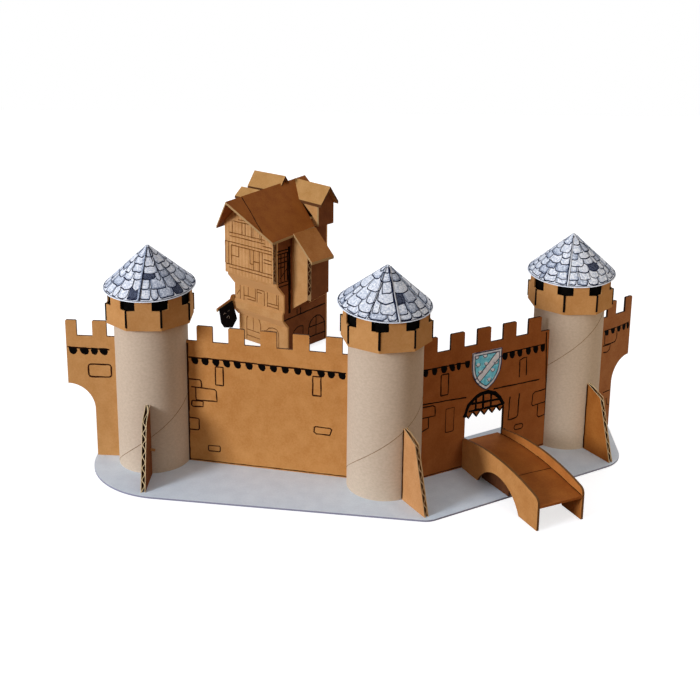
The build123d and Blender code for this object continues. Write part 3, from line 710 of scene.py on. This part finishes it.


# Rows are distances from the point; spots are (angle, distance, tone) of slates that stand out
# dark, and of grey slates gathered on each cone's right side as painted shade
grey_slate = slate_tones[2]
left_rows = [0.8, 7.6, 13.6, 18.6, 23.0, 29.2, 35.4]
left_spots = [
    (-76, 21, 3), (-104, 31.5, 3), (-32, 33, 3), (-42, 25, 2),
    (-48, 20, 2), (-136, 25, 2), (-20, 24, 2), (-10, 31, 2),
]
left_creases = [
    (-93.5, 1.0, grey_slate, 2, 36.6),
    (-91.9, 0.5, slate_ink, 2, 36.4),
    (-62, 0.4, slate_ink, 2, 12),
]
slated_roof("left", left, -0.2, 25.4, left_rows, 6.2, -93.5, left_spots, left_creases)
middle_rows = [0.8, 5.0, 10.6, 17.6, 24.4, 30.6, 34.4]
middle_spots = [
    (-66, 23, 3), (-44, 27, 2), (-34, 20, 2), (-104, 32, 2),
    (-176, 25, 2), (-44, 9, 2), (-4, 29, 2),
]
middle_creases = [
    (-74.4, 1.0, roof_paper, 2, 35.8),
    (-76.4, 0.9, slate_ink, 2, 25),
    (-76.4, 0.5, slate_ink, 25, 35.6),
    (-112.5, 0.3, slate_ink, 2, 35.6),
    (-20, 0.5, slate_ink, 2, 33),
    (-23, 0.7, grey_slate, 2, 35),
]
middle_cone = middle + Vector((-1.0, 0, 0))
slated_roof("middle", middle_cone, 2.8, 23.5, middle_rows, 7.4, -76.5, middle_spots, middle_creases)
right_rows = [0.8, 8.2, 13.4, 18.0, 22.6, 27.2, 31.6, 35.4]
right_spots = [
    (-50, 24, 3), (-104, 16.5, 2), (-150, 24, 2), (-46, 12, 2), (-20, 20, 2), (-15, 30, 2),
]
right_creases = [
    (-106, 0.9, roof_paper, 2, 36.6),
    (-107.8, 0.5, slate_ink, 2, 36.6),
    (-22, 0.9, grey_slate, 2, 36.6),
]
slated_roof("right", right, -0.9, 25.4, right_rows, 6.6, -107.5, right_spots, right_creases)

# Battlement rings: a black paper band behind the crenels, partly painted shade, and black lines of
# painted shade over the slits at the folds
band_radius = 23.0
band_foot = ring_foot + card + 0.1
band_top = 113.0
band_thickness = 0.3
slit_foot = ring_foot + card + 0.4
# Black paper without shine: the tube's marker-black top seen through the crenels, carried above the
# tube and down behind the slits as painted shade, so they read as deep holes
marker_black_with_painted_shade = fibre_paper("marker_black_with_painted_shade", "#0E0C0A", "#060504", 4, gloss=0.02)
for side, foot in towers.items():
    band = bmesh.new()
    round_band = {"radius1": band_radius, "radius2": band_radius, "depth": band_top - band_foot}
    bmesh.ops.create_cone(band, segments=64, **round_band)
    bmesh.ops.solidify(band, geom=band.faces[:], thickness=band_thickness)
    bmesh.ops.recalc_face_normals(band, faces=band.faces[:])
    centre = foot + upward * (band_foot + band_top) / 2
    bmesh.ops.translate(band, verts=band.verts, vec=centre)
    bmesh.ops.scale(band, verts=band.verts, vec=(mm, mm, mm))
    name = f"black_band_{side}"
    piece(name, [mesh_of(name, band)], marker_black_with_painted_shade)
    # Black lines over the slits: painted shade in the gaps
    slits = pen_curve(f"slit_lines_{side}", [])
    for k in range(ring_sides):
        slit = slits.splines.new("POLY")
        slit.points.add(1)
        fold = heading(ring_turns[side] + 360 / ring_sides * k)
        corner = foot + fold * (ring_radius - 0.3)
        for point, height in zip(slit.points, (slit_foot, ring_foot + ring_slit_height)):
            point.co = (corner.x, corner.y, height, 1)
            point.radius = hand.uniform(1.4, 1.7)
    slit_mesh = curve_mesh(slits)
    slit_mesh.transform(Matrix.Scale(mm, 4))
    piece(f"slit_lines_{side}", [slit_mesh], marker_black_with_painted_shade)


# Shield: turquoise field inside a white border, a pale band across it and small plain tufts
shield_paper = 0.5
shield_width = 22.0
shield_top = 74.6
shield_shoulder = 66.0
shield_tip = 49.4


def shield_outline(inset):
    """Outline of the shield drawn in by an inset: a flat top and two arcs down to the tip."""
    half = shield_width / 2 - inset
    tip = shield_tip + 1.3 * inset
    fall = shield_shoulder - tip
    radius = (half * half + fall * fall) / (2 * half)
    sweep, steps = math.asin(fall / radius), 10
    right_side = [(half, shield_top - inset)]
    for k in range(steps + 1):
        angle = sweep * k / steps
        across, down = radius * math.cos(angle), radius * math.sin(angle)
        right_side.append((half - radius + across, shield_shoulder - down))
    left_side = [(-x, z) for x, z in right_side[::-1]][1:]
    return [(gate_centre + x, z) for x, z in right_side + left_side]


shield_face = face_of(middle, gate_angle, card / 2 + gate_set_out + shield_paper)
layer = Matrix.Translation((0, 0, 0.08))
border_width = 1.9
# Felt-tip colour: a light turquoise that is a little uneven
turquoise = fibre_paper("turquoise_paint", "#98ECFF", "#62C8EA", 2)
# White paper: the pale border, band and tufts of the shield
border_paper = fibre_paper("shield_white", "#F2F5FC", "#D2DAEA", 2)
# Blue-black ink: the shield's thin drawn outlines
blue_ink = fibre_paper("blue_ink", "#3A4668", "#252E4A", 2)
pale_band = [(59.6, 57.2), (62.0, 54.2), (78.4, 69.4), (78.4, 72.9), (75.6, 72.9)]
tufts = [
    (60.2, 71.8), (66.4, 71.6), (61.4, 66.6), (67.4, 66.4),
    (63.2, 61.6), (72.6, 61.4), (74.9, 66.0), (70.2, 55.6),
]
field = [shield_outline(border_width)]
drawing("shield_field", shield_face, [], field, turquoise)
raised = shield_face @ layer
drawing("shield_band", raised, [], [pale_band], border_paper)
tuft_shapes = []
for x, z in tufts:
    turns = [math.radians(60 * k + hand.uniform(-16, 16)) for k in range(6)]
    tuft_shapes.append([(x + 1.6 * math.cos(turn), z + 1.3 * math.sin(turn)) for turn in turns])
drawing("shield_tufts", raised, [], tuft_shapes, border_paper)
shield_pen = [
    (shield_outline(0.15), 0.55, True),
    (shield_outline(border_width), 0.45, True),
    (pale_band[:1] + pale_band[-1:], 0.45, False),
    (pale_band[1:3], 0.45, False),
]
for x, z in tufts:
    hook = [(x - 1.5, z + 0.5), (x - 0.3, z - 1.2), (x + 1.4, z - 0.6), (x + 1.6, z + 0.8)]
    shield_pen.append((hook, 0.36, False))
drawing("shield_lines", raised @ layer, shield_pen, [], blue_ink)

# Sign: a few plain pale strokes on the front of the black board
sign_front = 1.0
sign_face = face_of(house_corner + house_across * sign_front, house_angle + 90, 0)
sign_board_pen = [
    ([(-18.6, 24.6), (-17.2, 25.8), (-15.6, 24.8)], 0.5, False),
    ([(-15.0, 21.0), (-13.4, 22.6), (-11.8, 21.4), (-12.4, 19.8)], 0.5, False),
    ([(-13.8, 26.2), (-12.0, 27.2)], 0.5, False),
]
# Chalk: a few dull pale strokes on black card
chalk = fibre_paper("sign_chalk", "#B4B4B4", "#747474", 2)
drawing("sign_strokes", sign_face, sign_board_pen, [], chalk)

# Roll cores: the spiral seam shows as a faint line up each tube


def seam(side, foot, slope, height_at_zero):
    """Spiral seam of a roll core from the plate up to its ring, by its rise per degree."""
    line = pen_curve(f"core_seam_{side}", [])
    spline = line.splines.new("POLY")
    steps, seam_width = 96, 0.38
    reach = tube_radius - 0.03
    low, high = plate_card + 0.5, ring_foot - 0.5
    spline.points.add(steps)
    for k, point in enumerate(spline.points):
        height = low + (high - low) * k / steps
        angle = math.radians((height - height_at_zero) / slope)
        point.co = (foot.x + reach * math.cos(angle), foot.y + reach * math.sin(angle), height, 1)
        point.radius = seam_width
    mesh = curve_mesh(line)
    mesh.transform(Matrix.Scale(mm, 4))
    piece(f"core_seam_{side}", [mesh], core_seam_paper)


# Glued lap of the roll core: a faint darker line round the tube
core_seam_paper = fibre_paper("core_seam_paper", "#8E7050", "#74583A", 4)
seam("left", left, 0.285, 48.7)
seam("middle", middle, 0.276, 60.5)
seam("right", right, 0.328, 99.5)

# Fins: corrugated board, two liners with a wavy sheet between them, cut to the sloping outline
board = 2.8
liner = 0.4
medium = 0.5
flute_pitch = 6.4
left_fin_angle = -89.3
fin_angle = -60.0
fin_start, fin_reach, fin_top = tube_radius + 0.05, 45.5, 45.5
fin_outline = [
    (fin_start, plate_card), (fin_start, fin_top), (34.0, 40.0), (fin_reach, plate_card),
]


def fin_sheet(name, frame_axes, offset, wave, thickness):
    """One sheet of a fin: a flat or wavy strip, cut to the fin's outline and thickened."""
    sheet = bmesh.new()
    (inner, foot_height), (_, top), _, (reach, _) = fin_outline
    bmesh.ops.create_grid(sheet, x_segments=1, y_segments=112 if wave else 1, size=0.5)
    bmesh.ops.scale(sheet, verts=sheet.verts, vec=(reach - inner, top - foot_height, 1))
    centre = ((reach + inner) / 2, (top + foot_height) / 2, offset)
    bmesh.ops.translate(sheet, verts=sheet.verts, vec=centre)
    for vertex in sheet.verts:
        vertex.co.z += wave * math.sin(2 * math.pi * vertex.co.y / flute_pitch)
    for (x0, y0), (x1, y1) in zip(fin_outline[1:], fin_outline[2:]):
        whole = sheet.verts[:] + sheet.edges[:] + sheet.faces[:]
        cut = {"plane_co": (x0, y0, 0), "plane_no": (y0 - y1, x1 - x0, 0)}
        bmesh.ops.bisect_plane(sheet, geom=whole, clear_outer=True, **cut)
    bmesh.ops.solidify(sheet, geom=sheet.faces[:], thickness=thickness)
    bmesh.ops.recalc_face_normals(sheet, faces=sheet.faces)
    mesh = mesh_of(name, sheet)
    mesh.transform(Matrix.Scale(mm, 4) @ frame_axes)
    return mesh


def fin(side, foot, angle, liner_finish, medium_finish):
    """Corrugated fin in the place of its plain solid."""
    frame_axes = face_of(foot, angle, 0)
    half = board / 2
    near = fin_sheet("liner", frame_axes, half - liner, 0, liner)
    far = fin_sheet("liner", frame_axes, -half, 0, liner)
    wavy = fin_sheet("wave", frame_axes, -medium / 2, half - liner - medium / 2, medium)
    liners = piece(f"fin_liners_{side}", [near, far], liner_finish)
    piece(f"fin_flutes_{side}", [wavy], medium_finish)
    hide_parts(f"buttress_{side}")


# Kraft card of the battlement rings: warm light brown, matte, with soft clouds
ring_kraft = card_stock("battlement_card", "#C59259", "#B9844B")
# Corrugated board darkened with painted shade for the tower's shade: a dark brown face with pale
# raw edges
left_fin = card_stock(
    "left_fin_shaded_board", "#7E481E", "#6A3812", "#D8C29A", heading(left_fin_angle - 90)
)
# Corrugated board darkened with painted shade, as the right fin stands in shade: an orange-brown
# face with pale raw edges
right_fin = card_stock("right_fin_shaded_board", "#A66628", "#96561A", "#D8C29A", heading(fin_angle - 90))
# Corrugated board in the light: a pale brown face with raw edges hardly lighter
middle_fin = card_stock("fin_board", "#C8935F", "#BA8350", "#CFAE80", heading(fin_angle - 90))
# Wavy sheet inside the left fin: pale cut ends, with painted shade in the dark hollows between them
left_flutes = card_stock(
    "left_fluting", "#D8C29A", "#C4A878", "#3A220E", heading(left_fin_angle), 0.3
)
# Wavy sheet inside the right fin: the same pale ends, with painted shade in the dark hollows
right_flutes = card_stock(
    "fin_fluting", "#D8C29A", "#C4A878", "#3A220E", heading(fin_angle), 0.3
)
# Wavy sheet inside the middle fin: its hollows face the light, so their painted shade is only mid
# brown
middle_flutes = card_stock(
    "middle_fluting", "#C8A47A", "#B48E62", "#86623C", heading(fin_angle), 0.3
)
fin("left", left, left_fin_angle, left_fin, left_flutes)
fin("middle", middle, fin_angle, middle_fin, middle_flutes)
fin("right", right, fin_angle, right_fin, right_flutes)
# Dark lines on the near faces of the middle and right fins, where they meet their tubes: painted
# contact shade
for side in ("middle", "right"):
    near_face = face_of(towers[side], fin_angle, board / 2)
    contact_shade_line = [([(22.5, 1.8), (22.5, 44.6)], 0.6, False)]
    drawing(f"fin_fold_{side}", near_face, contact_shade_line, [], brown_pen)
# A scrap of card ties the left fin to its tube
scrap_place = left + Vector((3.1, -24.8, 17.9))
card_strip("fin_scrap", (3.6, 0.5, 1.5), "Y", 8, scrap_place, ring_kraft)

# Finishes of the CAD's own pieces
front_facing = heading(house_angle - 90)
# Faces turned from this axis take the paler colour: the cut edges, and the undersides below the
# overhangs as painted light
overhang = (front_facing + upward).normalized()
# Kraft card of the long wall: golden brown, with dark cut edges
long_kraft = card_stock(
    "long_wall_card", "#C48B4E", "#B67B3F", "#3E220E", heading(long_angle - 90)
)
# Red-brown kraft card, darkened with painted shade: the gate wall stands in the middle tower's
# shade and looks deep brown beside the long wall
gate_kraft_painted_shade = card_stock(
    "gate_wall_shaded_card", "#9A5928", "#894B1C", "#2E1408", heading(gate_angle - 90)
)
# Kraft card like the long wall's, a shade pinker
left_wing_kraft = card_stock(
    "left_wing_card", "#C6935A", "#B9854B", "#3E220E", heading(left_wing_angle - 90)
)
# Kraft card like the gate wall's but a little paler, darkened with painted shade as the right wing
# stands in shade
right_wing_kraft_painted_shade = card_stock(
    "right_wing_shaded_card", "#A87044", "#985E34", "#2E1408", heading(right_wing_angle - 90)
)
rail_facing = heading(bridge_angle - 90)
# Kraft card of the near rail: light brown with a dark drawn edge
bridge_kraft = card_stock("bridge_rail_card", "#C48C50", "#B47A40", "#6A4420", rail_facing)
# Kraft card of the far rail: more orange and a little darker, as painted shade of its inner face
# towards the deck
far_rail_kraft_painted_shade = card_stock("far_rail_shaded_card", "#BC7838", "#AA662A", "#6A4420", rail_facing)
# Kraft card darkened with painted shade: the deck lies in the rails' shade and reads as a deep
# brown path between them
deck_kraft_painted_shade = card_stock("bridge_deck_shaded_card", "#9E5A1E", "#8C4A14")
# Kraft card of the house fronts: light brown, paler at its cut edges, and paler below its overhangs
# as painted light that cancels their shade
front_kraft = card_stock("house_front_card", "#C49560", "#B88650", "#DCAA70", overhang, 0.4)
# Reddish kraft card, darkened with painted shade: the house sides face away from the light and look
# dark beside its fronts
side_kraft_painted_shade = card_stock("house_side_shaded_card", "#844E28", "#6E3C1C", "#A98A5C", house_across)
# Dark kraft card of the main roof, with pale raw edges along its eaves
roof_kraft = card_stock("roof_card", "#96551A", "#854611", "#B29062", upward, 0.4)
# Kraft card of the lean-to roof, between the dark roof and the light walls
lean_to_kraft = card_stock("lean_to_card", "#B0733A", "#A0632B", "#B29062", upward, 0.4)
# Light kraft card of the cross roof and dormers, with dark edges
rear_roof_kraft = card_stock("rear_roof_card", "#BE9058", "#B08148", "#5A3618", upward, 0.4)
# Corrugated board: upright ribs show softly through the front panel's face
panel_board = card_stock(
    "panel_board", "#CA9B67", "#B6844F", "#A89070", front_facing, ribs=house_across
)
# Corrugated board darkened with painted shade for the shade of the lean-to: dark red-brown
bay_board_painted_shade = card_stock("bay_board_painted_shade", "#7E4A26", "#6E3E1E", "#8A6C48", house_across)
# Pressed roll core: a fine even grey-brown fibre that catches the light softly
core = fibre_paper("roll_core", "#CBB9A3", "#C1AF99", 1.6, (1, 1, 1.6))
# Grey board: a cool smooth ground with a violet-grey cut edge
plate = card_stock("grey_board", "#DEE8F0", "#D4DEE7", "#8E90A6", upward)
# Black card: the hanging sign's flat dark shape
sign_black = fibre_paper("sign_black", "#100E10", "#070608", 4, gloss=0.05)

finishes = {
    "base_plate": plate, "shield": border_paper, "sign_board": sign_black, "sign_arm": roof_kraft,
    "wall_long": long_kraft, "wall_gate": gate_kraft_painted_shade,
    "wing_left": left_wing_kraft, "wing_right": right_wing_kraft_painted_shade,
    "bridge_side_left": bridge_kraft, "bridge_side_right": far_rail_kraft_painted_shade,
    "bridge_deck": deck_kraft_painted_shade,
    "house_front": front_kraft, "house_back": front_kraft, "house_front_panel": panel_board,
    "house_cross_front": front_kraft, "house_cross_back": front_kraft,
    "house_bay_front": front_kraft, "house_bay_back": front_kraft,
    "house_side_left": side_kraft_painted_shade, "house_side_right": side_kraft_painted_shade,
    "house_cross_gable": side_kraft_painted_shade, "house_bay_outer": bay_board_painted_shade,
    "house_roof": roof_kraft, "house_cross_roof": rear_roof_kraft,
    "house_lean_to": lean_to_kraft,
    "dormer_roof_front": rear_roof_kraft, "dormer_roof_rear": rear_roof_kraft,
    "dormer_walls_front": roof_kraft, "dormer_walls_rear": roof_kraft,
}
for side in towers:
    finishes[f"tower_tube_{side}"] = core
    finishes[f"battlement_{side}"] = ring_kraft
    finishes[f"cone_roof_{side}"] = roof_paper
for name, finish in finishes.items():
    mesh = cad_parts[name].data
    mesh.materials.clear()
    mesh.materials.append(finish)

# Floor, light and camera


def seen_plainly(tree):
    """1 where the camera sees a thing straight, mirrored or through glass, 0 in its light."""
    rays = add(tree, "ShaderNodeLightPath", {})
    straight = {0: rays.outputs["Is Camera Ray"], 1: rays.outputs["Is Glossy Ray"]}
    seen = add(tree, "ShaderNodeMath", straight, operation="MAXIMUM")
    through = {0: seen.outputs[0], 1: rays.outputs["Is Transmission Ray"]}
    return add(tree, "ShaderNodeMath", through, operation="MAXIMUM").outputs[0]


floor_reach, floor_gap = 1.6, 0.2 * mm
floor_shape = bmesh.new()
bmesh.ops.create_grid(floor_shape, x_segments=1, y_segments=1, size=floor_reach)
bmesh.ops.translate(floor_shape, verts=floor_shape.verts, vec=(0, 0, -floor_gap))
floor = show("floor", mesh_of("floor", floor_shape))
# White studio paper: bright around the castle, yet it keeps a soft shadow
floor_finish, floor_tree, floor_shader, _ = start("white_floor", 0.9)
floor_shader.inputs["Emission Color"].default_value = (1, 1, 1, 1)
floor_seen = seen_plainly(floor_tree)
wood_or_white = {0: floor_seen, 6: linear("#8A643E"), 7: linear("#CCCCCC")}
floor_colour = add(floor_tree, "ShaderNodeMix", wood_or_white, data_type="RGBA")
floor_tree.links.new(floor_colour.outputs[2], floor_shader.inputs["Base Color"])
paleness = add(floor_tree, "ShaderNodeMapRange", {0: floor_seen, 3: 0.0, 4: 0.7})
floor_tree.links.new(paleness.outputs[0], floor_shader.inputs["Emission Strength"])
floor.data.materials.append(floor_finish)

world = bpy.data.worlds.new("studio")
world.use_nodes = True
bpy.context.scene.world = world
studio = world.node_tree
direction = add(studio, "ShaderNodeTexCoord", {}).outputs["Generated"]
height = add(studio, "ShaderNodeSeparateXYZ", {0: direction}).outputs["Z"]
above = add(studio, "ShaderNodeMapRange", {0: height, 1: 0.25, 2: 1.0})
# Seen from the castle, the room goes from brown walls up to a pale ceiling
wall_colour, ceiling_colour = (0.165, 0.095, 0.042, 1), (0.60, 0.65, 0.71, 1)
wall_to_ceiling = {0: above.outputs[0], 6: wall_colour, 7: ceiling_colour}
room = add(studio, "ShaderNodeMix", wall_to_ceiling, data_type="RGBA")
backdrop = {0: seen_plainly(studio), 6: room.outputs[2], 7: (1, 1, 1, 1)}
view = add(studio, "ShaderNodeMix", backdrop, data_type="RGBA")
studio.links.new(view.outputs[2], studio.nodes["Background"].inputs["Color"])


def lamp(name, kind, position, target, power, colour, **shape):
    """Studio light that points at a target, all in metres."""
    data = bpy.data.lights.new(name, kind)
    data.energy = power
    data.color = colour
    for setting, value in shape.items():
        setattr(data, setting, value)
    light = show(name, data)
    light.location = position
    aim = Vector(target) - Vector(position)
    light.rotation_euler = aim.to_track_quat("-Z", "Y").to_euler()


window_light = (0.98, 1.03, 1.13)
lamp("window", "AREA", (-1.57, -1.05, 0.62), (0, 0.05, 0.06), 30, window_light, size=0.5)
warm_light = (1.0, 0.9, 0.8)
lamp("white_card", "AREA", (0.9, -1.2, 0.5), (0.05, 0.05, 0.06), 0.5, warm_light, size=0.7)
lamp("rear_card", "AREA", (0.9, 1.7, 1.1), (0, 0.1, 0.06), 12, (1.0, 1.0, 1.0), size=1.2)
# A soft spot lifts the gate and the right tower, which stand in the middle tower's shade
soft_spot = {"spot_size": math.radians(18), "spot_blend": 0.8, "shadow_soft_size": 0.12}
spot_light = (1.0, 0.93, 0.8)
lamp("gate_spot", "SPOT", (0.75, -1.0, 0.45), (0.16, 0.08, 0.05), 17, spot_light, **soft_spot)

# The camera that took the photo, as solved from the towers' round edges
picture_width = 700
focal_length = 1028.9
sensor_width = 36
down_tilt = 13.22
roll = 0.0108
camera_data = bpy.data.cameras.new("camera")
camera_data.sensor_width = sensor_width
camera_data.lens = focal_length / picture_width * sensor_width
camera_data.shift_y = -0.2
camera_data.clip_start = 0.01
camera = show("camera", camera_data)
camera.location = (-0.0216, -0.56005, 0.29936)
turned = Matrix.Rotation(math.radians(90 - down_tilt), 4, "X") @ Matrix.Rotation(roll, 4, "Z")
camera.rotation_euler = turned.to_euler()
bpy.context.scene.camera = camera
bpy.context.scene.view_settings.view_transform = "Standard"
